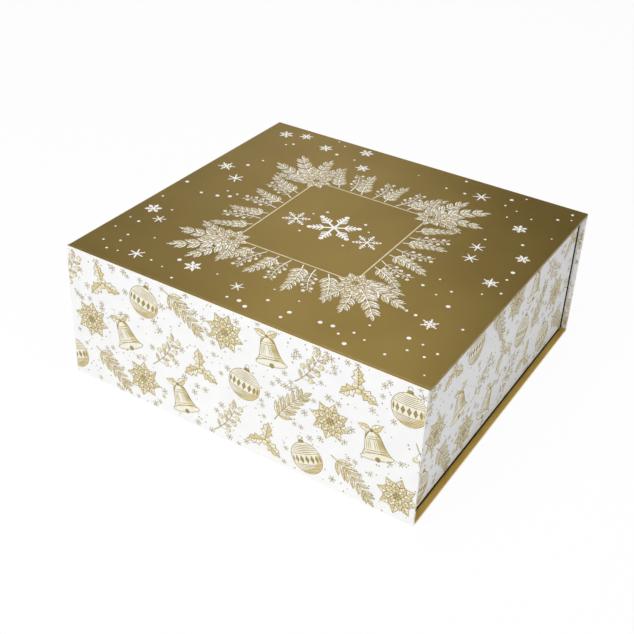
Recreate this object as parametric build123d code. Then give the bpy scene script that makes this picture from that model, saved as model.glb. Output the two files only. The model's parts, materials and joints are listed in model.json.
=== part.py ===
"""Folding gift box: a book-style cover round a tray whose walls fold down on paper creases.

Millimetres. X runs along the long front face, Y from the front to the back, Z up.
The origin is the middle of the footprint, on the surface that the box stands on.
Every panel is a greyboard core in printed wrapping paper, lined with plain paper inside.
"""

import os

from build123d import *

# Overall size of the closed box
box_width = 310.0
box_depth = 290.0
box_height = 118.0

# Panel make-up: core board, wrapping paper and lining paper
cover_core = 1.9
wall_core = 1.5
wrap_paper = 0.2
lining_paper = 0.1
turn_in = 15.0
lining_inset = 3.0
base_lining_inset = 12.0
edge_round = 0.3

# Floor board of the tray
floor_core = 1.1

# How the tray sits inside the cover
side_margin = 5.0
foot_gap = 0.6
flap_to_wall = 1.0
flap_gutter = 0.6
wall_lift = 2.0
corner_clearance = 0.3
spine_clearance = 2.0
spine_foot_gap = 0.3
lid_clearance = 0.5
floor_clearance = 0.3

# Glue tabs at the tray's corners, and their strips of double-sided tape
tab_reach = 24.0
tab_paper = 0.4
tab_setback = 6.0
tape_width = 12.0
tape_paper = 0.2
tape_end_margin = 4.0
tab_play = 0.1
fold_play = 0.05

# Paper creases that join the panels
crease_paper = 0.2
crease_play = 0.05
crease_recess = 0.4

# Magnet closure: discs in the flap pull on steel plates in the front wall
magnet_radius = 5.0
magnet_thickness = 1.3
plate_radius = 6.0
plate_thickness = 0.8
magnet_spacing = 190.0
magnet_height = 32.0
pocket_clearance = 0.1

# Thickness of each kind of finished panel
papers = 2 * wrap_paper + lining_paper
cover_panel = cover_core + papers
wall_panel = wall_core + papers
floor_panel = floor_core + papers

# Planes that the panels line up with
front_face = -box_depth / 2
rear_face = box_depth / 2
flap_inner = front_face + cover_panel
cover_front = flap_inner + flap_gutter
spine_inner = rear_face - cover_panel
side_outer = box_width / 2 - side_margin
side_inner = side_outer - wall_panel
front_wall_outer = flap_inner + flap_to_wall
front_wall_inner = front_wall_outer + wall_panel
base_top = cover_panel
ledge_top = base_top - lining_paper
floor_top = base_top + floor_panel
lid_underside = box_height - cover_panel
wall_top = lid_underside - lid_clearance
side_wall_foot = base_top + wall_lift
tab_stack = fold_play + tab_paper + tape_paper
front_wall_foot = floor_top + tab_stack + tab_play
spine_foot = base_top + spine_foot_gap
tab_face = side_inner - tab_play - tape_paper - tab_paper
flap_top = box_height - crease_paper - crease_play


def block(x_range, y_range, z_range):
    """A box between two planes along each axis."""
    size = [high - low for low, high in (x_range, y_range, z_range)]
    middle = [(high + low) / 2 for low, high in (x_range, y_range, z_range)]
    return Pos(*middle) * Box(*size)


def plate(width, height, low, high):
    """A flat sheet centred on the panel's middle, between two depths from its printed face."""
    return block((-width / 2, width / 2), (-height / 2, height / 2), (low, high))


def wrapped_panel(width, height, core, inset=lining_inset):
    """Core, wrap and lining of one panel, lying with its printed face down on the XY plane."""
    inner_face = wrap_paper + core
    turned = inner_face + wrap_paper
    board = plate(width - 2 * wrap_paper, height - 2 * wrap_paper, wrap_paper, inner_face)
    body = plate(width, height, 0, turned)
    body = fillet(body.edges(), edge_round)
    window_width = width - 2 * turn_in
    window_height = height - 2 * turn_in
    window = plate(window_width, window_height, inner_face, turned)
    wrap = body - board - window
    cover_sheet = plate(width - 2 * inset, height - 2 * inset, turned, turned + lining_paper)
    lining = window + cover_sheet
    return {"board": board, "wrap": wrap, "lining": lining}


def placed(panel, plane):
    """Every layer of a panel, moved onto the plane of its printed face."""
    return {layer: plane * solid for layer, solid in panel.items()}


def disc_row(radius, low, high, plane):
    """Two discs side by side, between two depths from a panel's printed face."""
    row = [
        Pos(side * magnet_spacing / 2, 0, (low + high) / 2) * Cylinder(radius, high - low)
        for side in (-1, 1)
    ]
    return [plane * disc for disc in row]


def with_pockets(board, radius, low, high, plane):
    """A core board with a pocket cut for each disc, a little larger than the disc."""
    for pocket in disc_row(radius + pocket_clearance, low, high, plane):
        board = board - pocket
    return board


def facing(middle, along_width, outward):
    """The plane of a printed face: its X along the panel's width, its Z into the panel."""
    inward = [-part for part in outward]
    return Plane(origin=middle, x_dir=along_width, z_dir=inward)


parts = {}


def add_panel(name, panel):
    """Names the layers of a panel as separate nodes."""
    for layer, solid in panel.items():
        parts[f"{name}_{layer}"] = solid


def make_cover():
    """Base, spine and lid: the three panels of the cover that the tray stands between."""
    cover_depth = rear_face - cover_front
    cover_middle = (rear_face + cover_front) / 2
    # The tray covers the base's lining, so that only wrapping paper shows round the tray
    base = wrapped_panel(box_width, cover_depth, cover_core, base_lining_inset)
    base_plane = facing((0, cover_middle, 0), (1, 0, 0), (0, 0, -1))
    add_panel("base", placed(base, base_plane))
    lid = wrapped_panel(box_width, cover_depth, cover_core)
    lid_plane = facing((0, cover_middle, box_height), (1, 0, 0), (0, 0, 1))
    add_panel("lid", placed(lid, lid_plane))

    spine_height = wall_top - spine_foot
    spine_middle = (wall_top + spine_foot) / 2
    spine = wrapped_panel(box_width, spine_height, cover_core)
    spine_plane = facing((0, rear_face, spine_middle), (1, 0, 0), (0, 1, 0))
    add_panel("spine", placed(spine, spine_plane))


def make_flap():
    """Front flap that hangs from the lid, with two magnets under its lining."""
    flap_height = flap_top - foot_gap
    flap_middle = (flap_top + foot_gap) / 2
    flap = wrapped_panel(box_width, flap_height, cover_core)
    plane = facing((0, front_face, flap_middle), (1, 0, 0), (0, -1, 0))
    flap = placed(flap, plane)
    disc_plane = facing((0, front_face, magnet_height), (1, 0, 0), (0, -1, 0))
    inner_face = wrap_paper + cover_core
    pocket_floor = inner_face - magnet_thickness
    flap["board"] = with_pockets(flap["board"], magnet_radius, pocket_floor, inner_face, disc_plane)
    add_panel("flap", flap)
    parts["flap_magnets"] = Compound(disc_row(magnet_radius, pocket_floor, inner_face, disc_plane))


def make_front_wall():
    """Front wall of the tray, hidden by the flap, with two steel plates under its wrap."""
    width = 2 * (side_inner - corner_clearance)
    middle = (wall_top + front_wall_foot) / 2
    wall = wrapped_panel(width, wall_top - front_wall_foot, wall_core)
    plane = facing((0, front_wall_outer, middle), (1, 0, 0), (0, -1, 0))
    wall = placed(wall, plane)
    disc_plane = facing((0, front_wall_outer, magnet_height), (1, 0, 0), (0, -1, 0))
    pocket_floor = wrap_paper + plate_thickness
    wall["board"] = with_pockets(wall["board"], plate_radius, wrap_paper, pocket_floor, disc_plane)
    add_panel("front_wall", wall)
    parts["front_wall_plates"] = Compound(disc_row(plate_radius, wrap_paper, pocket_floor, disc_plane))


def make_side_walls():
    """Left and right walls, which stand back from the edges of the cover."""
    front_end = front_wall_outer
    rear_end = spine_inner - spine_clearance
    wall = wrapped_panel(rear_end - front_end, wall_top - side_wall_foot, wall_core)
    middle_y = (front_end + rear_end) / 2
    middle_z = (wall_top + side_wall_foot) / 2
    for name, side in (("left", -1), ("right", 1)):
        plane = facing((side * side_outer, middle_y, middle_z), (0, 1, 0), (side, 0, 0))
        add_panel(f"{name}_wall", placed(wall, plane))


def make_floor():
    """Floor board of the tray, glued on the base between the walls."""
    half_width = side_inner - floor_clearance
    front = front_wall_inner + floor_clearance
    rear = spine_inner - floor_clearance
    floor = wrapped_panel(2 * half_width, rear - front, floor_core)
    plane = facing((0, (front + rear) / 2, base_top), (1, 0, 0), (0, 0, -1))
    add_panel("floor", placed(floor, plane))


def tab_outline(foot, top, reach):
    """Glue tab seen from the side: its free end is mitred at both corners to fold down clear."""
    low = foot + tab_setback
    high = top - tab_setback
    return Polyline(
        (0, low),
        (reach, low + reach),
        (reach, high - reach),
        (0, high),
        close=True,
    )


def make_tabs():
    """Four glue tabs on the ends of the front wall and the spine, inside the side walls."""
    outline = make_face(tab_outline(front_wall_foot, wall_top, tab_reach))
    tape_start = (tab_reach - tape_width) / 2
    tape_foot = front_wall_foot + tab_setback + tab_reach + tape_end_margin
    tape_top = wall_top - tab_setback - tab_reach - tape_end_margin
    tape_inner = tab_face + tab_paper
    tape_outer = tape_inner + tape_paper
    rows = (("front", front_wall_inner + fold_play, 1), ("rear", spine_inner - fold_play, -1))
    for end, hinge_y, inward in rows:
        tape_y = sorted((hinge_y + inward * tape_start, hinge_y + inward * (tape_start + tape_width)))
        for name, side in (("left", -1), ("right", 1)):
            # X of this plane runs from the hinge into the tray, and its Y runs up
            sketch = Plane(origin=(side * tab_face, hinge_y, 0), x_dir=(0, inward, 0), z_dir=(inward, 0, 0))
            parts[f"{end}_{name}_tab"] = extrude(sketch * outline, amount=tab_paper, dir=(side, 0, 0))
            tape_x = sorted((side * tape_inner, side * tape_outer))
            parts[f"{end}_{name}_tape"] = block(tape_x, tape_y, (tape_foot, tape_top))


def make_creases():
    """Strips of paper in the gutters between the panels."""
    half_width = box_width / 2
    rear_end = spine_inner - spine_clearance
    for name, side in (("left", -1), ("right", 1)):
        outer = side_outer - crease_recess
        x_range = sorted((side * outer, side * (outer - crease_paper)))
        z_range = (ledge_top, side_wall_foot - crease_play)
        parts[f"{name}_wall_crease"] = block(x_range, (front_wall_outer, rear_end), z_range)

    front_width = side_inner - corner_clearance
    front_y = front_wall_inner - crease_play
    parts["front_wall_crease"] = block(
        (-front_width, front_width),
        (front_y - crease_paper, front_y),
        (ledge_top, front_wall_foot - crease_play),
    )
    parts["spine_crease"] = block(
        (-half_width, half_width),
        (rear_face - crease_paper, rear_face),
        (ledge_top, spine_foot - crease_play),
    )
    parts["lid_crease"] = block(
        (-half_width, half_width),
        (spine_inner, rear_face),
        (wall_top, wall_top + crease_paper),
    )
    parts["flap_crease"] = block(
        (-half_width, half_width), (front_face, cover_front), (box_height - crease_paper, box_height)
    )


make_cover()
make_flap()
make_front_wall()
make_side_walls()
make_floor()
make_tabs()
make_creases()

os.makedirs("parts", exist_ok=True)
for node, solid in parts.items():
    export_step(solid, f"parts/{node}.step")
print(len(parts), "nodes written")
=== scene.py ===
"""Looks of the folding gift box: its papers and boards, the print on them, the light and the camera."""

import json
import math
import random

import bmesh
import bpy
from mathutils import Matrix, Vector


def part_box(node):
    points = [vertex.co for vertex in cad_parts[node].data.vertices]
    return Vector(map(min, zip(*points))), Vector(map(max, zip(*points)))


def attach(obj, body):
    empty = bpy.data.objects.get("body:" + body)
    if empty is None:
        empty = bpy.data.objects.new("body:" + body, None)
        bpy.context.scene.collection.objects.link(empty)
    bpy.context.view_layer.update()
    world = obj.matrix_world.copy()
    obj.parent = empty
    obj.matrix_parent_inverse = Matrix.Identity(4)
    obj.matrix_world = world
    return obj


MM = 0.001

# Camera: place in millimetres, angles in degrees, focal length and shift in widths of the picture
camera_place = (369.8, -646.3, 537.4)
camera_azimuth = -31.04
camera_drop = 30.94
camera_roll = 2.52
camera_focal = 1.691
camera_shift = -0.0946
sensor_width = 36.0

# Lamps: name, width in metres, power in watts, and where each one stands, in metres. The three behind the
# box show as the sheen on the lid: broad and soft at its front corner, gone at its back right.
lamps = (
    ("front_lamp", 1.2, 13.4, (-0.55, -1.5, 1.15)),
    ("right_lamp", 1.2, 6.0, (1.6, -0.6, 0.7)),
    ("high_lamp", 3.0, 22.0, (0.0, 0.0, 2.3)),
    ("near_lamp", 1.2, 8.0, (0.1, -0.5, 1.2)),
    ("sheen_lamp", 0.45, 1.4, (-0.706, 1.273, 1.221)),
    ("sheen_lamp_left", 0.9, 1.2, (-1.107, 1.319, 0.803)),
    ("sheen_lamp_high", 0.9, 0.7, (-0.283, 1.135, 1.497)),
)
lamp_aim = (0.0, 0.0, 0.06)
surround_tint = (0.93, 0.95, 1.0, 1.0)
surround_strength = 0.05

# Floor: half its width in metres, its own white, and the share of full white that the camera and reflections
# see in it, whatever light falls on it
floor_half = 6.0
floor_white = (0.9, 0.9, 0.9, 1.0)
floor_glow = 0.95

# Ink, in millimetres: how far it stands off the paper, how much higher each shape lies than one that it
# overlaps, and the bare strip along the edges of what it is printed on
ink_lift = 0.03
ink_step = 0.0003
edge_margin = 0.35

# A motif that lies over others starts this many ink steps higher for each level
motif_levels = 60

# The dark paper along the foot and the rear end of each side wall, painted shade of the gaps there: how far
# it reaches in behind the wall, and how much of it shows beside the wall, at the spine and on the base
shade_paper_behind = 1.6
shade_paper_at_spine = 0.95
shade_paper_at_foot = 0.65

# Where print stops, in millimetres: the gold short of the fold at the lid's front edge, with a soft and
# slightly ragged end, the pale line left there also painting the fold's highlight, the strip of paper that
# comes round the corner onto each side wall's front end, the turned-in paper that the linings leave bare, and
# the height of spine that the lid bears on when it is opened right back
fold_line = 1.1
fold_blur = 0.15
fold_ragged = 0.1
corner_overlap = 10.0
bare_margin = 3.0
lid_bears_on = 2.6

# The line frame on the lid, and the room that print round it leaves for it
frame_middle = (-4.0, -2.0)
frame_half = (54.2, 60.0)
frame_line = 1.2
frame_room = 66

# Sprigs at each corner of the frame: how far each leans from the diagonal, and its length. Lengths and
# leans vary by chance, here as along the sides.
corner_sprigs = ((-0.98, 34), (0.98, 34), (-0.52, 42), (0.52, 42), (0, 46))
corner_length_play = (-3, 3)
corner_sway = 0.06
corner_blossom = 15.0
blossom_out = 2
blossom_level = 4

# Sprigs along each side of the frame, leaves and berries by turns: how far each leans, and the step between
side_leans = (-0.5, -0.3, -0.2, 0.06, 0.2, 0.3, 0.5)
side_step = 11
side_out = 2
side_sway = 0.08
side_leaves = 33.0
side_length_play = (-3, 4)
side_berries = 29.0

# Circles that cover the corner and the side sprigs: how far out each one's middle lies, and its radius
corner_reach = 22
corner_room = 27
side_reach = 16
side_room = 17

# Inside the frame: snowflakes, each with its place from the frame's middle, its radius and the branches on
# an arm, and dots, each drawn on both sides, with its place and radius
frame_level = 3.5
square_flakes = ((0, 0, 20, 3), (-33, -5, 10.5, 2), (33, -5, 10.5, 2))
square_dots = ((18, 19, 1.3), (26, 10, 0.9), (20, -20, 1.1))

# Snowflakes and dots on the rest of the lid: how many, how near its edges and each other, and their radius
flake_count = 19
flake_margin = 10
flake_gap = 9
flake_radius = (5.0, 7.2)
lid_dot_count = 80
lid_dot_margin = 4
lid_dot_gap = 3.5
lid_dot_radii = (0.8, 0.95, 1.1, 1.35, 1.7)
flake_turn = 1.0

# The all-over print: the spacing of its motifs, how far each strays from it, and how far each is turned
print_pitch = 37.0
print_row = 38.0
motif_stray = 3.0
ornament_tilt = 0.45
sprig_tilt = (0.6, 1.1)

# Sizes of its motifs, and the room round them that stars and dots keep out of
bauble_radius = 13.5
blossom_radius = 16.5
bell_size = 16.5
holly_leaf = 17.5
sprig_lengths = {"sprig": 42.0, "berries": 36.0}
ornament_room = 14.0
sprig_half_room = 6.5

# Stars and dots between them: how many on an area of 100 square centimetres, their radius, and their gap
print_area = 1e4
star_density = 30
star_radius = (2.2, 3.4)
star_gap = 2.0
dot_density = 70
dot_radius = (0.4, 0.8)
dot_gap = 0.8
scatter_tries = 60

# Widths of drawn lines: of leaves, petals, holly and ribbons, and of a stem from its foot to its tip, which
# is drawn in this many steps
leaf_line = 0.36
petal_line = 0.42
holly_line = 0.44
ribbon_line = 0.34
stem_line = (0.9, 0.7, 0.4)
stem_steps = 14

# The random seed of a panel's edge print, beyond that of its face
edge_seed = 5

# Screen tones of the papers, board, tape and metals, each from dark to light
gold_tones = ((146, 122, 60), (156, 132, 68))
white_tones = ((248, 248, 248), (253, 253, 252))
lining_tones = ((228, 226, 219), (239, 237, 231), (244, 243, 239))
# Painted shade: the dark paper's tones stand for the shade in the gaps at the side walls
painted_shade_tones = ((36, 26, 18), (54, 40, 28))
board_tones = ((112, 104, 94), (146, 138, 127), (176, 169, 158))
tape_tones = ((226, 205, 150), (238, 221, 172))
nickel_tones = ((182, 182, 184), (196, 196, 198))
steel_tones = ((150, 151, 154), (168, 169, 172))

# Pale paper along each edge over this width, where the gold is rubbed off and a painted highlight of the edge
# lies, and the white line where the gold stops at the fold, also a painted highlight of the fold
rubbed_and_highlight_tone = (226, 214, 182)
rubbed_and_highlight_edge = 0.45
fold_tone = (252, 249, 238)

# Gold paper's share of metal, and how much lighter than the lid's the base's gold is painted: painted light
# on the same paper
gold_metallic = 0.8
base_gold_painted_light = 1.42

# The ridge in a lining where it runs off the turned-in wrap: how far from its edge, how wide and how high
ridge_in = 12.0
ridge_half = 0.5
ridge_height = 0.12

# Inks: darker and lighter screen tone, and share of metal
ink_looks = {
    "dark_gold": ((148, 129, 76), (172, 153, 99), 0.1),
    "soft_gold": ((172, 157, 112), (188, 175, 134), 0.1),
    "mid_gold": ((222, 205, 150), (234, 219, 170), 0.0),
    "light_gold": ((243, 237, 214), (250, 246, 230), 0.0),
    "ivory": ((240, 237, 228), (252, 250, 244), 0.0),
    "sand": ((212, 199, 160), (226, 213, 176), 0.0),
}

# Inks of a print, in the order of its mesh's materials
FILL, HALF, LINE, MARK = range(4)
INKS = 4

# A rectangle's corners, as sides of its middle
corners = ((-1, -1), (1, -1), (1, 1), (-1, 1))


def linear(value):
    """A screen value from 0 to 255 as linear light."""
    share = value / 255
    return share / 12.92 if share <= 0.04045 else ((share + 0.055) / 1.055) ** 2.4


def colour(red, green, blue):
    """A screen colour as the linear colour that a shader takes."""
    return (linear(red), linear(green), linear(blue), 1.0)


def shades(tones, places=(0.3, 0.7)):
    """Stops of a colour ramp: screen tones at places in the range of a noise."""
    return [(place, colour(*tone)) for place, tone in zip(places, tones)]


class Nodes:
    """A material's node tree, with short calls for the nodes that it uses."""

    def __init__(self, name):
        self.material = bpy.data.materials.new(name)
        self.material.use_nodes = True
        self.tree = self.material.node_tree
        self.shader = self.tree.nodes["Principled BSDF"]
        self.place = self.add("ShaderNodeTexCoord").outputs["Object"]

    def add(self, kind, **settings):
        """A new node with its settings."""
        node = self.tree.nodes.new(kind)
        for key, value in settings.items():
            setattr(node, key, value)
        return node

    def link(self, source, target):
        """Joins an output to an input."""
        self.tree.links.new(source, target)

    def noise(self, scale, detail=3.0, roughness=0.5, stretch=None):
        """Noise over the object's own coordinates, its size given as repeats in a metre."""
        node = self.add("ShaderNodeTexNoise")
        node.inputs["Scale"].default_value = scale
        node.inputs["Detail"].default_value = detail
        node.inputs["Roughness"].default_value = roughness
        source = self.place
        if stretch:
            mapping = self.add("ShaderNodeMapping")
            mapping.inputs["Scale"].default_value = stretch
            self.link(source, mapping.inputs["Vector"])
            source = mapping.outputs["Vector"]
        self.link(source, node.inputs["Vector"])
        return node.outputs["Fac"]

    def math(self, operation, first, second=None):
        """One arithmetic step between two sockets or numbers."""
        node = self.add("ShaderNodeMath", operation=operation)
        for socket, value in zip(node.inputs, (first, second)):
            if isinstance(value, (int, float)):
                socket.default_value = value
            elif value is not None:
                self.link(value, socket)
        return node.outputs[0]

    def ramp(self, factor, stops):
        """A colour ramp through (position, colour) stops."""
        node = self.add("ShaderNodeValToRGB")
        elements = node.color_ramp.elements
        elements[0].position, elements[0].color = stops[0]
        elements[1].position, elements[1].color = stops[-1]
        for position, shade in stops[1:-1]:
            elements.new(position).color = shade
        self.link(factor, node.inputs["Fac"])
        return node.outputs["Color"]

    def mix(self, factor, first, second):
        """One colour laid over another by a factor."""
        node = self.add("ShaderNodeMix", data_type="RGBA")
        self.link(factor, node.inputs["Factor"])
        for socket, value in ((node.inputs[6], first), (node.inputs[7], second)):
            if isinstance(value, tuple):
                socket.default_value = value
            else:
                self.link(value, socket)
        return node.outputs[2]

    def spread(self, factor, low, high, start=0.3, end=0.7):
        """A value moved from one range, by default that of noise, to another, and held inside it."""
        node = self.add("ShaderNodeMapRange")
        node.inputs["From Min"].default_value = start
        node.inputs["From Max"].default_value = end
        node.inputs["To Min"].default_value = low
        node.inputs["To Max"].default_value = high
        self.link(factor, node.inputs["Value"])
        return node.outputs["Result"]

    def edge_distance(self, low, high):
        """Distance in metres from a box's surface to the nearest of its edges."""
        middle = (low + high) / 2
        half = (high - low) / 2
        split = self.add("ShaderNodeSeparateXYZ")
        self.link(self.place, split.inputs[0])
        depths = []
        for i in range(3):
            off = self.math("ABSOLUTE", self.math("SUBTRACT", split.outputs[i], middle[i]))
            depths.append(self.math("SUBTRACT", half[i], off))
        pairs = [self.math("MAXIMUM", depths[i], depths[(i + 1) % 3]) for i in range(3)]
        return self.math("MINIMUM", self.math("MINIMUM", pairs[0], pairs[1]), pairs[2])

    def bump(self, height, depth_mm):
        """Relief of a height in millimetres, on top of any relief that is there already."""
        node = self.add("ShaderNodeBump")
        node.inputs["Distance"].default_value = depth_mm * MM
        self.link(height, node.inputs["Height"])
        socket = self.shader.inputs["Normal"]
        if socket.is_linked:
            self.link(socket.links[0].from_socket, node.inputs["Normal"])
        self.link(node.outputs["Normal"], socket)

    def surface(self, grain, stops, roughness, relief):
        """Colour, roughness between two values, and relief in millimetres, which all follow one grain."""
        self.link(self.ramp(grain, stops), self.shader.inputs["Base Color"])
        self.link(self.spread(grain, *roughness), self.shader.inputs["Roughness"])
        self.bump(grain, relief)

    def set(self, **values):
        """Plain values for the shader's own sockets."""
        for name, value in values.items():
            self.shader.inputs[name.replace("_", " ")].default_value = value


def gold_grain(n, light=1.0):
    """Gives a material the gold paper's satin grain. Returns its faintly cloudy colour, made lighter by the
    light factor, which is painted light.
    """
    n.link(n.spread(n.noise(2600, detail=2), 0.36, 0.46), n.shader.inputs["Roughness"])
    n.bump(n.noise(3200, detail=3, roughness=0.6), 0.012)
    tones = [[value * light for value in tone] for tone in gold_tones]
    return n.ramp(n.noise(14, detail=2), shades(tones))


def gold_paper(name, low, high, light=1.0):
    """Satin gold paper, pale in patches along a panel's edges: its core rubbed bare, and a painted highlight
    of the edges.
    """
    n = Nodes(name)
    shade = gold_grain(n, light)
    # Pale patches along the edges: the rubbed-bare core, and a painted highlight of the edges
    edge_wear_and_highlight = n.spread(n.edge_distance(low, high), 1.0, 0.0, 0.0, rubbed_and_highlight_edge * MM)
    patchy = n.math("MULTIPLY", edge_wear_and_highlight, n.spread(n.noise(240, detail=3), 0.0, 0.75))
    n.link(n.mix(patchy, shade, colour(*rubbed_and_highlight_tone)), n.shader.inputs["Base Color"])
    n.set(Metallic=gold_metallic)
    return n.material


def fold_paper(name, front):
    """The gold paper over the front fold: the gold stops short of the fold and leaves a white line, which
    also paints the fold's highlight.
    """
    n = Nodes(name)
    shade = gold_grain(n)
    split = n.add("ShaderNodeSeparateXYZ")
    n.link(n.place, split.inputs[0])
    ragged = n.math("ADD", split.outputs["Y"], n.spread(n.noise(900), -fold_ragged * MM, fold_ragged * MM))
    # The white line at the fold: the gold stopping short, and a painted highlight of the rounded fold
    white_until = front + (fold_line - fold_blur) * MM
    gold_from = front + (fold_line + fold_blur) * MM
    white = n.spread(ragged, 1.0, 0.0, white_until, gold_from)
    n.link(n.mix(white, shade, colour(*fold_tone)), n.shader.inputs["Base Color"])
    n.link(n.math("MULTIPLY", n.math("SUBTRACT", 1.0, white), gold_metallic), n.shader.inputs["Metallic"])
    return n.material


def printed_paper():
    """Smooth white wrapping paper with a slight tooth."""
    n = Nodes("printed_paper")
    n.link(n.ramp(n.noise(60, detail=3), shades(white_tones)), n.shader.inputs["Base Color"])
    n.link(n.spread(n.noise(1800), 0.42, 0.58), n.shader.inputs["Roughness"])
    n.bump(n.noise(2400, detail=4), 0.010)
    return n.material


def lining_paper(name, low, high, ridge=None):
    """Matte off-white paper with short fibres; a faint ridge shows where it runs off the turned-in wrap."""
    n = Nodes(name)
    fibres = n.noise(900, detail=4, roughness=0.7, stretch=(1.0, 0.35, 1.0))
    n.surface(fibres, shades(lining_tones, (0.25, 0.6, 0.8)), (0.72, 0.88), 0.02)
    if ridge:
        start = (ridge - ridge_half) * MM
        end = (ridge + ridge_half) * MM
        n.bump(n.spread(n.edge_distance(low, high), 1.0, 0.0, start, end), ridge_height)
    return n.material


def painted_shade_paper():
    """Dark brown paper with a slightly lighter grain, painted shade in the gaps at the side walls."""
    n = Nodes("painted_shade_crease_paper")
    grain = n.noise(700, detail=4, stretch=(1.0, 0.3, 1.0))
    n.surface(grain, shades(painted_shade_tones), (0.7, 0.9), 0.02)
    n.set(Specular_IOR_Level=0.15)
    return n.material


def greyboard():
    """Raw greyboard: felted grey-brown fibres with darker and lighter specks."""
    n = Nodes("greyboard")
    felt = n.noise(700, detail=6, roughness=0.75, stretch=(0.5, 1.0, 1.6))
    n.surface(felt, shades(board_tones, (0.28, 0.5, 0.74)), (0.82, 0.95), 0.05)
    return n.material


def release_tape():
    """Double-sided tape under waxy yellowish release paper."""
    n = Nodes("release_tape")
    streaks = n.noise(220, detail=3, stretch=(1.0, 1.0, 0.2))
    n.surface(streaks, shades(tape_tones), (0.28, 0.42), 0.01)
    return n.material


def plated_metal(name, tones, gloss):
    """Thin metal disc with fine turning marks in its gloss."""
    n = Nodes(name)
    marks = n.noise(1500, detail=3, stretch=(1.0, 1.0, 0.15))
    n.surface(marks, shades(tones), (gloss, gloss + 0.12), 0.01)
    n.set(Metallic=1.0)
    return n.material


def ink(name, low, high, metallic):
    """Printed ink, a little uneven in tone."""
    n = Nodes(name)
    patches = n.noise(260, detail=3)
    n.link(n.ramp(patches, shades((low, high), (0.34, 0.66))), n.shader.inputs["Base Color"])
    n.link(n.spread(n.noise(1500), 0.4, 0.55), n.shader.inputs["Roughness"])
    n.set(Metallic=metallic)
    return n.material


class Pen:
    """Draws flat shapes in millimetres on a panel's face, each motif at a place, angle and size."""

    def __init__(self, seed):
        self.random = random.Random(seed)
        self.points = []
        self.faces = []
        self.inks = []
        self.move(0, 0)

    def move(self, x, y, angle=0.0, size=1.0, level=0):
        """Starts a motif at a place. A motif of a higher level lies over those of lower ones."""
        self.middle = (x, y)
        self.turn = (math.cos(angle) * size, math.sin(angle) * size)
        self.layer = level * motif_levels

    def lift(self):
        """The shapes that follow lie over those drawn so far."""
        self.layer += 1

    def put(self, x, y):
        """Adds a point given in the motif's own coordinates, and returns its number."""
        c, s = self.turn
        place = (self.middle[0] + x * c - y * s, self.middle[1] + x * s + y * c, self.layer * ink_step)
        self.points.append(place)
        return len(self.points) - 1

    def patch(self, outline, tone):
        """One filled shape inside an outline."""
        self.faces.append([self.put(x, y) for x, y in outline])
        self.inks.append(tone)

    def stroke(self, line, widths, tone=LINE):
        """A ribbon along a line, its width running evenly through the listed widths."""
        self.lift()
        last = len(line) - 1
        before = None
        for i, (x, y) in enumerate(line):
            ahead = line[min(i + 1, last)]
            behind = line[max(i - 1, 0)]
            along = Vector((ahead[0] - behind[0], ahead[1] - behind[1])).normalized()
            share = i / last * (len(widths) - 1)
            step = min(int(share), len(widths) - 2)
            half = (widths[step] + (widths[step + 1] - widths[step]) * (share - step)) / 2
            left = self.put(x - along.y * half, y + along.x * half)
            right = self.put(x + along.y * half, y - along.x * half)
            if before:
                self.faces.append([before[0], before[1], right, left])
                self.inks.append(tone)
            before = (left, right)

    def ring(self, x, y, radius, width, tone=LINE, sides=24):
        """A line round a circle."""
        around = circle(x, y, radius, sides)
        self.stroke(around + around[:1], (width, width), tone)


def circle(x, y, radius, sides=24, start=0.0, sweep=2 * math.pi):
    """Points round a circle, or along an arc of it with both its ends."""
    whole = abs(sweep - 2 * math.pi) < 1e-9
    count = sides if whole else sides + 1
    angles = [start + sweep * i / sides for i in range(count)]
    return [(x + radius * math.cos(angle), y + radius * math.sin(angle)) for angle in angles]


def bow(start, end, bulge, steps=8):
    """A curve between two points that bows to one side by a share of its length."""
    (x0, y0), (x1, y1) = start, end
    middle_x = (x0 + x1) / 2 - (y1 - y0) * bulge
    middle_y = (y0 + y1) / 2 + (x1 - x0) * bulge
    curve = []
    for i in range(steps + 1):
        t = i / steps
        a, b, c = (1 - t) ** 2, 2 * t * (1 - t), t * t
        curve.append((a * x0 + b * middle_x + c * x1, a * y0 + b * middle_y + c * y1))
    return curve


def pointed(share):
    """Half width of a plain leaf along its length, widest a little before the middle."""
    return math.sin(math.pi * share ** 0.85)


def spiny(share):
    """Half width of a holly leaf: the plain leaf with three spines on each edge."""
    spines = 3.5
    tooth = 1 - abs(2 * ((share * spines) % 1) - 1)
    return math.sin(math.pi * share ** 0.9) * (0.55 + 0.45 * tooth ** 1.5)


def leaf(pen, x, y, angle, length, width, veins=3, line=leaf_line, shape=pointed, steps=9):
    """A leaf with one half shaded, then its outline, midrib and side veins."""
    ahead = (math.cos(angle), math.sin(angle))
    outline = (line * 0.8, line * 1.5, line * 0.8)
    midrib = (line * 1.7, line * 0.6)
    vein = (line, line * 0.6)

    def spot(share, offset):
        reach = length * share
        return (x + ahead[0] * reach - ahead[1] * offset, y + ahead[1] * reach + ahead[0] * offset)

    shares = [i / steps for i in range(steps + 1)]
    left = [spot(t, width / 2 * shape(t)) for t in shares]
    right = [spot(t, -width / 2 * shape(t)) for t in shares]
    pen.lift()
    pen.patch(left + right[-2:0:-1], FILL)
    pen.lift()
    pen.patch(right, HALF)
    pen.lift()
    for edge in (left, right):
        pen.stroke(edge, outline)
    pen.stroke([spot(0, 0), spot(1, 0)], midrib)
    for i in range(1, veins + 1):
        t = i / (veins + 1)
        # A vein runs outward and ahead, and ends short of the leaf's edge
        reach = width * 0.36 * shape(t)
        for sign in (-1, 1):
            pen.stroke([spot(t, 0), spot(t + reach * 0.9 / length, sign * reach)], vein)


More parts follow.
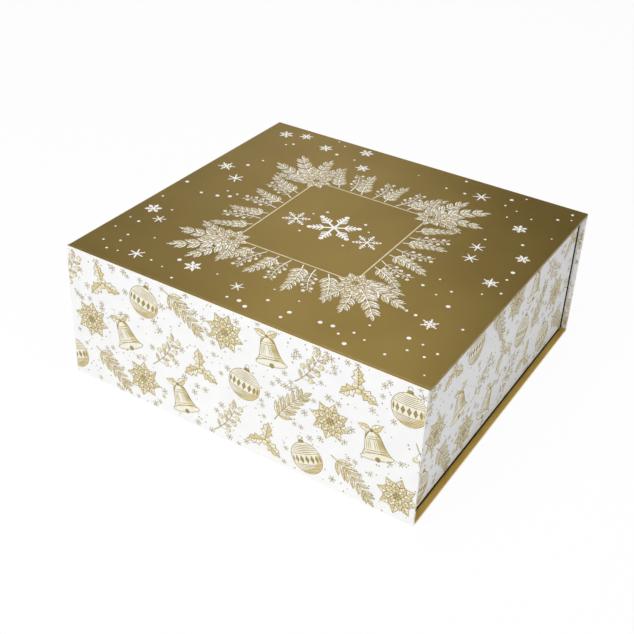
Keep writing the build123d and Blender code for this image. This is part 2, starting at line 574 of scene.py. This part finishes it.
def blossom(pen, x, y, radius, petals=8, turn=0.0):
    """A winter blossom: three rings of pointed petals round a heart of small beads."""
    # Each ring of petals: how far they reach and how wide they are, as shares of the radius, how many they
    # are, and how many veins each one has
    rings = ((1.0, 0.50, petals, 5), (0.74, 0.40, petals, 4), (0.48, 0.30, petals - 2, 2))
    for i, (reach, width, count, veins) in enumerate(rings):
        for k in range(count):
            angle = turn + (k + 0.5 * (i % 2)) * 2 * math.pi / count
            leaf(pen, x, y, angle, radius * reach, radius * width, veins, petal_line)
    bead = radius * 0.075
    pen.lift()
    for k in range(6):
        angle = turn + k * math.pi / 3
        pen.patch(circle(x + bead * 2 * math.cos(angle), y + bead * 2 * math.sin(angle), bead, 8), LINE)
    pen.patch(circle(x, y, bead, 8), LINE)


def leaf_sprig(pen, length, pairs=7, leaf_share=0.31, slimness=0.34, veins=3):
    """A bowed stem along X with pairs of leaves, smaller and less spread towards the one at its tip."""
    stem = bow((0, 0), (length, 0), 0.10, stem_steps)
    longest = length * leaf_share
    for i in range(pairs):
        # Where on the stem this pair grows, as a share of its length
        t = 0.14 + 0.74 * i / (pairs - 1)
        x, y = stem[round(t * stem_steps)]
        size = longest * (1.05 - 0.45 * t)
        lean = 0.85 - 0.25 * t
        for sign in (-1, 1):
            leaf(pen, x, y, sign * lean + 0.12 * (0.5 - t), size, size * slimness, veins)
    leaf(pen, *stem[-2], -0.2, longest * 0.7, longest * 0.24, veins)
    pen.lift()
    pen.stroke(stem, stem_line, MARK)


def berry_sprig(pen, length, berries=7):
    """A bowed stem along X with round berries on short stalks, and a small leaf across from each one."""
    stem = bow((0, 0), (length, 0), -0.14, stem_steps)
    radius = length * 0.06
    for i in range(berries):
        t = 0.2 + 0.8 * i / (berries - 1)
        x, y = stem[round(t * stem_steps)]
        sign = 1 if i % 2 else -1
        reach = length * 0.17 * (1.1 - 0.5 * t)
        end = (x + reach * 0.7, y + sign * reach)
        leaf(pen, x, y, -sign * 0.9, length * 0.2, length * 0.07, veins=1)
        pen.stroke(bow((x, y), end, 0.12 * sign, 4), (0.4, 0.4), MARK)
        berry(pen, *end, radius)
    pen.lift()
    pen.stroke(stem, stem_line, MARK)


def berry(pen, x, y, radius):
    """A round berry, shaded below, with its outline and a mark where it catches the light."""
    pen.lift()
    pen.patch(circle(x, y, radius, 14), FILL)
    pen.lift()
    pen.patch(circle(x, y, radius, 8, -2.6, 3.0), HALF)
    pen.lift()
    pen.ring(x, y, radius, 0.34, LINE, 14)
    pen.stroke(circle(x, y, radius * 0.5, 4, 1.2, 1.4), (0.2, 0.4, 0.2))


def holly(pen, length):
    """Three spiny leaves round three berries."""
    for k in range(3):
        angle = math.pi / 2 + k * 2 * math.pi / 3
        leaf(pen, 0, 0, angle, length, length * 0.62, 6, holly_line, spiny, steps=28)
    off = length * 0.15
    for k in range(3):
        angle = -math.pi / 2 + k * 2 * math.pi / 3
        berry(pen, off * math.cos(angle), off * math.sin(angle), length * 0.13)


def bauble(pen, radius):
    """A round tree ornament: a band of diamonds with hatching above and below it, cap and loop."""
    pen.lift()
    pen.patch(circle(0, 0, radius, 32), FILL)
    # The shade is a crescent between the rim and a circle round the lit side
    lit_side = circle(-radius * 0.35, radius * 0.35, radius * 1.12, 12, 0.05, -1.65)
    pen.lift()
    pen.patch(circle(0, 0, radius, 16, -2.3, 2.5) + lit_side, HALF)
    pen.lift()
    pen.ring(0, 0, radius, 0.5, LINE, 36)
    band = radius * 0.34
    sag = -0.10
    for level in (-band, band):
        half = math.sqrt(radius ** 2 - level ** 2)
        pen.stroke(bow((-half, level), (half, level), sag, 12), (0.4, 0.55, 0.4))
    diamonds = 7
    seen_arc = 2.5
    for i in range(diamonds):
        around = (i - (diamonds - 1) / 2) * seen_arc / diamonds
        x = radius * math.sin(around)
        half = radius * 0.14 * math.cos(around)
        y = -radius * 0.10 * math.cos(around) ** 2
        tall = band * 0.8
        pen.patch([(x - half, y), (x, y - tall), (x + half, y), (x, y + tall)], LINE)
    rows = 6
    for row in range(1, rows):
        for sign in (-1, 1):
            level = sign * (band + (radius - band) * row / (rows + 0.5))
            half = math.sqrt(radius ** 2 - level ** 2) * 0.9
            pen.stroke(bow((-half, level), (half, level), sag, 10), (0.25, 0.6, 0.35))
    cap = radius * 0.2
    top = radius * 0.96
    pen.patch([(-cap, top), (cap, top), (cap * 0.8, top + cap), (-cap * 0.8, top + cap)], LINE)
    pen.ring(0, radius * 1.28, radius * 0.12, 0.4, LINE, 12)


def bell(pen, size):
    """A bell under a bow: washed body shaded on its right, bands, rim, clapper and hatching."""
    top = size * 0.70
    rim = -size * 0.62
    steps = 14
    # Bands round the bell, as shares of the way down, and hatching lines, as shares of the way out
    bands = (0.22, 0.3, 0.74, 0.82)
    hatches = (-0.8, -0.64, -0.46, 0.02, 0.2, 0.36, 0.5, 0.63, 0.74, 0.84, 0.93)

    def edge(share, side):
        """A point a share of the way down, and as far out as the side's share of the half width."""
        half = size * (0.20 + 0.36 * math.sqrt(share) + 0.26 * share ** 5)
        return (side * half, top + (rim - top) * share)

    shares = [i / steps for i in range(steps + 1)]
    left = [edge(t, -1) for t in shares]
    right = [edge(t, 1) for t in shares]
    pen.lift()
    pen.patch(left + right[::-1], FILL)
    pen.lift()
    pen.patch(right + [edge(t, 0.35) for t in reversed(shares)], HALF)
    pen.lift()
    # The open mouth, seen at a slant
    flatness = 0.22
    mouth = [(x, rim + (y - rim) * flatness) for x, y in circle(0, rim, edge(1, 1)[0], 24)]
    pen.patch(mouth, FILL)
    pen.lift()
    pen.stroke(mouth + mouth[:1], (0.5, 0.5))
    for side in (left, right):
        pen.stroke(side, (0.4, 0.6, 0.5))
    for share in bands:
        pen.stroke(bow(edge(share, -1), edge(share, 1), -0.08, 10), (0.35, 0.5, 0.35))
    for side in hatches:
        pen.stroke([edge(0.34 + 0.36 * i / 5, side) for i in range(6)], (0.25, 0.55, 0.3))
    pen.patch(circle(0, rim - size * 0.12, size * 0.13, 12), LINE)
    # The bow: two loops, two hanging ends and a knot
    for sign in (-1, 1):
        leaf(pen, 0, top, math.pi / 2 + sign * 1.15, size * 0.66, size * 0.34, 2, ribbon_line)
        pen.stroke(bow((0, top), (sign * size * 0.42, top - size * 0.5), 0.25 * sign, 8), (0.5, 1.3, 0.5))
    pen.patch(circle(0, top, size * 0.09, 10), LINE)


def star(pen, radius):
    """A small six-armed star with a cross stroke on each arm."""
    for k in range(6):
        angle = k * math.pi / 3
        c, s = math.cos(angle), math.sin(angle)
        pen.stroke([(0, 0), (radius * c, radius * s)], (radius * 0.2, radius * 0.16), MARK)
        # The cross stroke sits two thirds of the way out
        x = radius * 0.66 * c
        y = radius * 0.66 * s
        half = radius * 0.22
        cross = [(x - half * s, y + half * c), (x + half * s, y - half * c)]
        pen.stroke(cross, (radius * 0.13, radius * 0.13), MARK)


def snowflake(pen, radius, branches=2, weight=0.13, tips=False):
    """A six-armed snowflake with forked arms, some with a dot on each tip."""
    for k in range(6):
        angle = k * math.pi / 3
        c, s = math.cos(angle), math.sin(angle)

        def spot(reach, aside=0.0):
            return (reach * c - aside * s, reach * s + aside * c)

        pen.stroke([(0, 0), spot(radius)], (radius * weight * 1.2, radius * weight), MARK)
        for j in range(branches):
            root = radius * (0.42 + 0.48 * j / max(branches, 2))
            reach = radius * 0.30 * (1 - 0.18 * j)
            for sign in (-1, 1):
                tip = spot(root + reach * 0.62, sign * reach * 0.78)
                pen.stroke([spot(root), tip], (radius * weight, radius * weight * 0.8), MARK)
        if tips:
            pen.patch(circle(*spot(radius), radius * 0.11, 8), MARK)


def scatter(pen, width, height, count, taken, gap):
    """Random places on a panel that keep a gap to the taken circles and to each other."""
    found = []
    for _ in range(count * scatter_tries):
        if len(found) == count:
            break
        x = pen.random.uniform(-width / 2, width / 2)
        y = pen.random.uniform(-height / 2, height / 2)
        if all(math.hypot(x - a, y - b) > r + gap for a, b, r in taken):
            found.append((x, y))
            taken.append((x, y, gap))
    return found


def sprig_room(x, y, angle, length, radius):
    """Circles that cover a sprig which starts at a place and runs at an angle."""
    shares = (0.2, 0.5, 0.8)
    return [(x + length * t * math.cos(angle), y + length * t * math.sin(angle), radius) for t in shares]


def draw_motif(pen, kind, x, y):
    """One ornament or sprig of the all-over print. Returns the circles of room that it takes."""
    tilt = pen.random.uniform(-ornament_tilt, ornament_tilt)
    if kind in sprig_lengths:
        length = sprig_lengths[kind]
        angle = pen.random.uniform(*sprig_tilt) * pen.random.choice((-1, 1))
        x -= length / 2 * math.cos(angle)
        y -= length / 2 * math.sin(angle)
        pen.move(x, y, angle)
        if kind == "sprig":
            leaf_sprig(pen, length)
        else:
            berry_sprig(pen, length)
        return sprig_room(x, y, angle, length, sprig_half_room)
    pen.move(x, y, tilt)
    if kind == "bauble":
        bauble(pen, bauble_radius)
    elif kind == "blossom":
        blossom(pen, 0, 0, blossom_radius)
    elif kind == "bell":
        bell(pen, bell_size)
    else:
        holly(pen, holly_leaf)
    return [(x, y, ornament_room)]


def draw_sides(pen, width, height):
    """The all-over print of the flap, walls and spine: ornaments and sprigs among stars and dots."""
    rows = max(1, round(height / print_row))
    columns = math.ceil(width / print_pitch) + 2
    kinds = ("bauble", "sprig", "blossom", "bell", "berries", "holly")
    taken = []
    for row in range(rows):
        for column in range(-1, columns):
            x = -width / 2 + (column + 0.5 * (row % 2)) * print_pitch
            x += pen.random.uniform(-motif_stray, motif_stray)
            y = -height / 2 + (row + 0.5) * height / rows
            y += pen.random.uniform(-motif_stray, motif_stray)
            taken += draw_motif(pen, kinds[(column + 2 * row) % len(kinds)], x, y)
    area = width * height / print_area
    for x, y in scatter(pen, width, height, round(area * star_density), taken, star_gap):
        pen.move(x, y, pen.random.uniform(0, flake_turn))
        star(pen, pen.random.uniform(*star_radius))
    for x, y in scatter(pen, width, height, round(area * dot_density), taken, dot_gap):
        pen.move(x, y)
        pen.patch(circle(0, 0, pen.random.uniform(*dot_radius), 8), MARK)


def draw_frame_line(pen):
    """The square line frame on the lid."""
    half_x, half_y = frame_half
    reach = half_x + frame_line / 2
    for sign in (-1, 1):
        level = [(-reach, sign * half_y), (reach, sign * half_y)]
        upright = [(sign * half_x, -half_y), (sign * half_x, half_y)]
        for line in (level, upright):
            pen.stroke(line, (frame_line, frame_line), HALF)


def draw_ring(pen):
    """Sprigs and berries round the frame, with a blossom on each corner. Returns the room that they take."""
    half_x, half_y = frame_half
    middle_x, middle_y = frame_middle
    taken = [(middle_x, middle_y, frame_room)]
    for x_side, y_side in corners:
        x = middle_x + x_side * half_x
        y = middle_y + y_side * half_y
        out = math.atan2(y_side, x_side)
        c, s = math.cos(out), math.sin(out)
        for i, (lean, length) in enumerate(corner_sprigs):
            pen.move(x, y, out + lean + pen.random.uniform(-corner_sway, corner_sway), level=i / 2)
            length += pen.random.uniform(*corner_length_play)
            leaf_sprig(pen, length, pairs=8, leaf_share=0.30, slimness=0.40, veins=2)
        pen.move(x, y, level=blossom_level)
        blossom(pen, blossom_out * c, blossom_out * s, corner_blossom, turn=out)
        taken.append((x + corner_reach * c, y + corner_reach * s, corner_room))
    for k in range(4):
        out = k * math.pi / 2
        c, s = math.cos(out), math.sin(out)
        for i, lean in enumerate(side_leans):
            aside = (i - len(side_leans) // 2) * side_step
            x = middle_x + (half_x + side_out) * c - aside * s
            y = middle_y + (half_y + side_out) * s + aside * c
            pen.move(x, y, out + lean + pen.random.uniform(-side_sway, side_sway), level=i % 2)
            if i % 2:
                berry_sprig(pen, side_berries)
            else:
                length = side_leaves + pen.random.uniform(*side_length_play)
                leaf_sprig(pen, length, leaf_share=0.30, slimness=0.42, veins=2)
            taken.append((x + side_reach * c, y + side_reach * s, side_room))
    return taken


def draw_lid(pen, width, height):
    """The lid's print: a frame in a ring of sprigs, snowflakes and dots in the frame and round the ring."""
    taken = draw_ring(pen)
    middle_x, middle_y = frame_middle
    pen.move(middle_x, middle_y, level=frame_level)
    draw_frame_line(pen)
    for x, y, radius, branches in square_flakes:
        pen.move(middle_x + x, middle_y + y, math.pi / 6)
        snowflake(pen, radius, branches, weight=0.085, tips=True)
    for x, y, radius in square_dots:
        for side in (-1, 1):
            pen.move(middle_x + side * x, middle_y + y)
            pen.patch(circle(0, 0, radius, 12), MARK)
    room = (width - 2 * flake_margin, height - 2 * flake_margin)
    for i, (x, y) in enumerate(scatter(pen, *room, flake_count, taken, flake_gap)):
        pen.move(x, y, pen.random.uniform(0, flake_turn))
        snowflake(pen, pen.random.uniform(*flake_radius), i % 3, weight=0.17, tips=i % 2 == 0)
    room = (width - 2 * lid_dot_margin, height - 2 * lid_dot_margin)
    for x, y in scatter(pen, *room, lid_dot_count, taken, lid_dot_gap):
        pen.move(x, y)
        pen.patch(circle(0, 0, pen.random.choice(lid_dot_radii), 12), MARK)


def field_on(node, direction, window):
    """A field's middle, its axes across, up and outward, and its width and height in millimetres."""
    low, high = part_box(node)
    size = (high - low) / MM
    outward = Vector(direction)
    up = Vector((0, 1, 0)) if outward.z else Vector((0, 0, 1))
    across = up.cross(outward)
    half_width = abs(size.dot(across)) / 2
    half_height = abs(size.dot(up)) / 2
    spans = window or ((-half_width, half_width), (-half_height, half_height))
    width, height = (span[1] - span[0] for span in spans)
    middle = (low + high) / 2 + outward * abs(size.dot(outward)) / 2 * MM
    middle += (across * sum(spans[0]) / 2 + up * sum(spans[1]) / 2) * MM
    return middle, (across, up, outward), width, height


def inked_shape(pen, middle, axes, width, height):
    """A pen's drawing laid on a field, and cut off at its edges."""
    across, up, outward = axes
    places = [middle + (across * x + up * y + outward * (ink_lift + z)) * MM for x, y, z in pen.points]
    sheet = bpy.data.meshes.new("sheet")
    sheet.from_pydata(places, [], pen.faces)
    sheet.polygons.foreach_set("material_index", pen.inks)
    shape = bmesh.new()
    shape.from_mesh(sheet)
    bpy.data.meshes.remove(sheet)
    for side, half in ((across, width / 2), (up, height / 2)):
        for sign in (-1, 1):
            cut = middle + side * sign * (half - edge_margin) * MM
            everything = shape.verts[:] + shape.edges[:] + shape.faces[:]
            bmesh.ops.bisect_plane(
                shape, geom=everything, plane_co=cut, plane_no=side * sign, clear_outer=True
            )
    shape.verts.index_update()
    return shape


def print_on(name, node, body, fields, draw, inks, seed):
    """Makes one ink mesh on faces of a panel. Its UV map has a band for each field and ink.

    A field is the direction that a face looks in, and None for the whole face or a pair of (low, high)
    spans in millimetres from the face's middle, across and up.
    """
    points, faces, tones, spots = [], [], [], []
    bands = len(fields) * INKS
    for i, (direction, window) in enumerate(fields):
        middle, axes, width, height = field_on(node, direction, window)
        across, up, outward = axes
        pen = Pen(seed + i)
        draw(pen, width, height)
        shape = inked_shape(pen, middle, axes, width, height)
        first = len(points)
        points += [vert.co.copy() for vert in shape.verts]
        for part in shape.faces:
            if part.normal.dot(outward) < 0:
                part.normal_flip()
            faces.append([first + vert.index for vert in part.verts])
            tones.append(part.material_index)
            for vert in part.verts:
                place = (vert.co - middle) / MM
                v = 0.5 + place.dot(up) / height
                spots += [0.5 + place.dot(across) / width, (v + i * INKS + part.material_index) / bands]
        shape.free()
    mesh = bpy.data.meshes.new(name)
    mesh.from_pydata(points, [], faces)
    for material in inks:
        mesh.materials.append(material)
    mesh.polygons.foreach_set("material_index", tones)
    mesh.uv_layers.new(name="OFBake").data.foreach_set("uv", spots)
    piece = bpy.data.objects.new(name, mesh)
    bpy.context.collection.objects.link(piece)
    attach(piece, body)


def edge_fields(node, direction):
    """A printed panel's four edges, and the margins inside that its lining leaves bare."""
    inward = tuple(-Vector(direction))
    _, (across, up, _), width, height = field_on(node, inward, None)
    whole_width = (-width / 2, width / 2)
    whole_height = (-height / 2, height / 2)
    fields = [(tuple(side * sign), None) for side in (across, up) for sign in (-1, 1)]
    for start in (-width / 2, width / 2 - bare_margin):
        fields.append((inward, ((start, start + bare_margin), whole_height)))
    for start in (-height / 2, height / 2 - bare_margin):
        fields.append((inward, (whole_width, (start, start + bare_margin))))
    return fields


def mirrored(span):
    """A span right of the middle, and the same one left of it."""
    return span, (-span[1], -span[0])


def fill_sheet(pen, width, height):
    """One plain patch over the whole field."""
    pen.patch([(x * width / 2, y * height / 2) for x, y in corners], FILL)


def dress_nodes(frame, finishes, special):
    """Gives every node of the frame its own special material, or that of its slot."""
    slots = {row["node"]: row["material_slot"] for row in frame["record"]["subparts"]}
    for node, part in frame["nodes"].items():
        part.data.materials.clear()
        part.data.materials.append(special.get(node) or finishes[slots[node]])


def make_camera():
    """The photograph's viewpoint."""
    azimuth, drop, roll = (math.radians(angle) for angle in (camera_azimuth, camera_drop, camera_roll))
    ahead = math.cos(drop)
    forward = Vector((math.sin(azimuth) * ahead, math.cos(azimuth) * ahead, -math.sin(drop)))
    level = Vector((math.cos(azimuth), -math.sin(azimuth), 0))
    upright = level.cross(forward)
    right = level * math.cos(roll) + upright * math.sin(roll)
    up = upright * math.cos(roll) - level * math.sin(roll)
    data = bpy.data.cameras.new("camera")
    data.sensor_width = sensor_width
    data.lens = camera_focal * sensor_width
    data.shift_y = camera_shift
    data.clip_start = 0.01
    camera = bpy.data.objects.new("camera", data)
    axes = Matrix((right, up, -forward)).transposed()
    camera.matrix_world = Matrix.Translation(Vector(camera_place) * MM) @ axes.to_4x4()
    bpy.context.collection.objects.link(camera)
    bpy.context.scene.camera = camera


def mixed_shader(tree, share, first, second):
    """Two shaders mixed by a share of the second."""
    mix = tree.nodes.new("ShaderNodeMixShader")
    for socket, source in zip(mix.inputs, (share, first, second)):
        tree.links.new(source, socket)
    return mix.outputs[0]


def make_floor():
    """A plain white floor that keeps a pale shadow; the camera and the gold see it as white."""
    material = bpy.data.materials.new("floor")
    material.use_nodes = True
    tree = material.node_tree
    tree.nodes.clear()
    output = tree.nodes.new("ShaderNodeOutputMaterial")
    matte = tree.nodes.new("ShaderNodeBsdfDiffuse")
    matte.inputs["Color"].default_value = floor_white
    glow = tree.nodes.new("ShaderNodeEmission")
    path = tree.nodes.new("ShaderNodeLightPath")
    seen = tree.nodes.new("ShaderNodeMath")
    seen.operation = "MAXIMUM"
    tree.links.new(path.outputs["Is Camera Ray"], seen.inputs[0])
    tree.links.new(path.outputs["Is Glossy Ray"], seen.inputs[1])
    share = tree.nodes.new("ShaderNodeMath")
    share.operation = "MULTIPLY"
    share.inputs[1].default_value = floor_glow
    tree.links.new(seen.outputs[0], share.inputs[0])
    look = mixed_shader(tree, share.outputs[0], matte.outputs[0], glow.outputs[0])
    tree.links.new(look, output.inputs["Surface"])
    mesh = bpy.data.meshes.new("floor")
    mesh.from_pydata([(x * floor_half, y * floor_half, 0) for x, y in corners], [], [(0, 1, 2, 3)])
    mesh.materials.append(material)
    floor = bpy.data.objects.new("floor", mesh)
    bpy.context.collection.objects.link(floor)


def make_light():
    """Soft studio light: large lamps, and a faint even surround that the camera sees as white."""
    world = bpy.data.worlds.new("studio")
    bpy.context.scene.world = world
    world.use_nodes = True
    tree = world.node_tree
    surround = tree.nodes["Background"]
    surround.inputs["Color"].default_value = surround_tint
    surround.inputs["Strength"].default_value = surround_strength
    white = tree.nodes.new("ShaderNodeBackground")
    white.inputs["Strength"].default_value = 1.0
    path = tree.nodes.new("ShaderNodeLightPath")
    look = mixed_shader(tree, path.outputs["Is Camera Ray"], surround.outputs[0], white.outputs[0])
    tree.links.new(look, tree.nodes["World Output"].inputs["Surface"])
    for name, size, power, place in lamps:
        lamp = bpy.data.lights.new(name, "AREA")
        lamp.size = size
        lamp.energy = power
        stand = bpy.data.objects.new(name, lamp)
        stand.location = place
        aim = Vector(lamp_aim) - stand.location
        stand.rotation_mode = "QUATERNION"
        stand.rotation_quaternion = aim.to_track_quat("-Z", "Y")
        bpy.context.collection.objects.link(stand)


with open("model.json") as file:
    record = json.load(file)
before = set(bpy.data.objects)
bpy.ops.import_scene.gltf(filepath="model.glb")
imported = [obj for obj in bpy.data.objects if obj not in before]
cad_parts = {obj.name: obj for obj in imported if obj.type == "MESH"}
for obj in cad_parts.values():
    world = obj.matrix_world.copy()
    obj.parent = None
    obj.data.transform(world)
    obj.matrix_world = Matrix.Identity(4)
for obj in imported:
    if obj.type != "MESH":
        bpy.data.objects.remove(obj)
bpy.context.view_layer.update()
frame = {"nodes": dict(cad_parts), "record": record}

lid_gold = gold_paper("lid_gold_paper", *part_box("lid_wrap"))
# The base's gold is the lid's paper painted lighter: painted light
base_gold_painted_lighter = gold_paper("base_gold_paper_painted_lighter", *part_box("base_wrap"), base_gold_painted_light)
plain_lining = lining_paper("plain_paper", *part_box("floor_wrap"))
finishes = {
    "gold_wrap": lid_gold,
    "printed_wrap": printed_paper(),
    "lining_paper": plain_lining,
    "crease_paper": plain_lining,
    # The hinge paper at the side walls is dark brown: painted shade of the gaps there
    "hinge_paper": painted_shade_paper(),
    "tab_paper": plain_lining,
    "greyboard": greyboard(),
    "tape": release_tape(),
    "magnet": plated_metal("nickel", nickel_tones, 0.22),
    "steel": plated_metal("sheet_steel", steel_tones, 0.34),
}
special = {"base_wrap": base_gold_painted_lighter, "flap_crease": fold_paper("fold_gold_paper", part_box("flap_crease")[0].y)}
for panel in ("lid", "flap", "spine", "front_wall", "left_wall", "right_wall"):
    node = panel + "_lining"
    special[node] = lining_paper(node + "_paper", *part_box(node), ridge_in)
dress_nodes(frame, finishes, special)

inks = {name: ink(name + "_ink", *looks) for name, looks in ink_looks.items()}
side_inks = (inks["light_gold"], inks["mid_gold"], inks["dark_gold"], inks["soft_gold"])
lid_inks = (inks["ivory"], inks["sand"], lid_gold, inks["ivory"])
print_on("lid_print", "lid_wrap", "lid", [((0, 0, 1), None)], draw_lid, lid_inks, seed=11)

# The panels with the all-over print: name, the body that each rides on, where its face looks, and its seed
printed = (
    ("flap", "flap", (0, -1, 0), 21),
    ("spine", "base", (0, 1, 0), 51),
    ("front_wall", "front_wall", (0, -1, 0), 61),
    ("left_wall", "left_wall", (-1, 0, 0), 41),
    ("right_wall", "right_wall", (1, 0, 0), 31),
)
wall_low, wall_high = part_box("right_wall_wrap")
wall_half = (wall_high - wall_low) / 2 / MM
spine_low, spine_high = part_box("spine_wrap")
spine_half = (spine_high - spine_low) / 2 / MM
for panel, body, outward, seed in printed:
    node = panel + "_wrap"
    fields = [(outward, None)]
    if panel == "spine":
        fields = [(outward, ((-spine_half.x, spine_half.x), (-spine_half.z, spine_half.z - lid_bears_on)))]
    if outward[0]:
        # The print of a side wall breaks off where the paper of the corner laps over it
        front = -outward[0] * wall_half.y
        seam = front + outward[0] * corner_overlap
        tall = (-wall_half.z, wall_half.z)
        fields = [(outward, (tuple(sorted(span)), tall)) for span in ((seam, -front), (front, seam))]
    edges = edge_fields(node, outward)
    print_on(panel + "_print", node, body, fields, draw_sides, side_inks, seed)
    print_on(panel + "_edge_print", node, body, edges, draw_sides, side_inks, seed + edge_seed)

# Beside the tray the spine's inner face shows: dark paper in the corner, painted shade of the gap there, then
# printed paper
wall_outer = wall_high.x / MM
corner_end = wall_outer + shade_paper_at_spine
corner = (wall_outer - shade_paper_behind, corner_end)
beside = (corner_end, spine_half.x - bare_margin + edge_margin)
# Dark paper that paints the shade in the corner gaps and along the walls' foot
dark = (finishes["hinge_paper"],) * INKS
for name, span, draw, tones in (
    ("rear_corner_painted_shade", corner, fill_sheet, dark),
    ("spine_side_print", beside, draw_sides, side_inks),
):
    fields = [((0, -1, 0), (across, (-spine_half.z, spine_half.z))) for across in mirrored(span)]
    print_on(name, "spine_lining", "base", fields, draw, tones, seed=71)

# The same dark paper, painted shade, lies on the base along the foot of each side wall
base_low, base_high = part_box("base_wrap")
base_middle = (base_low + base_high).y / 2
foot = (wall_outer - shade_paper_behind, wall_outer + shade_paper_at_foot)
along = tuple((end - base_middle) / MM for end in (wall_low.y, wall_high.y))
fields = [((0, 0, 1), (across, along)) for across in mirrored(foot)]
print_on("foot_painted_shade", "base_wrap", "base", fields, fill_sheet, dark, seed=81)

make_camera()
make_floor()
make_light()
bpy.context.scene.view_settings.view_transform = "Standard"
